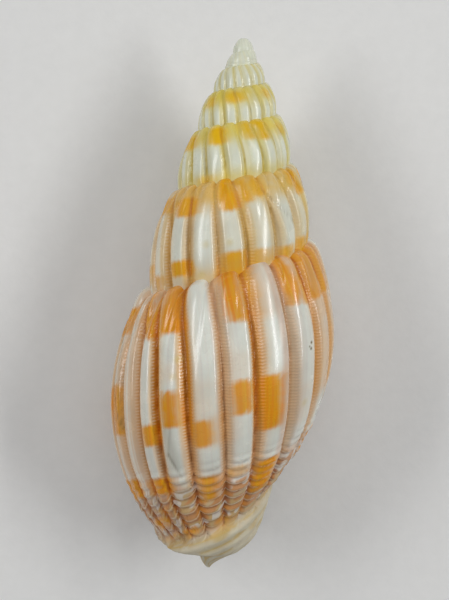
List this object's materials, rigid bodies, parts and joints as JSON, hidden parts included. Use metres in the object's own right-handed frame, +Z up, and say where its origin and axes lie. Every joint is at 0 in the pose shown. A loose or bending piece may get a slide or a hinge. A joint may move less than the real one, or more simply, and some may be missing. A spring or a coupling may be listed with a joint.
{
  "type": "lyria grangei shell",
  "caption": "Spindle-shaped, ribbed volute sea shell with a tall spire and a long narrow mouth, lying on its mouth; a natural specimen for display.",
  "frame": {"origin": "middle of the shell's outline seen from above, on the surface it rests on", "axes": "+Z up with the mouth underneath, +Y along the shell towards the apex, the outer lip on the -X side"},
  "size_m": [0.0176, 0.0424, 0.0159],
  "materials": {
    "shell_enamel": "glossy natural shell: white ribs, tan-pink spaces between them and orange blotches in spiral bands"
  },
  "bodies": {
    "root": {"shell": "shell_enamel"}
  },
  "joints": []
}
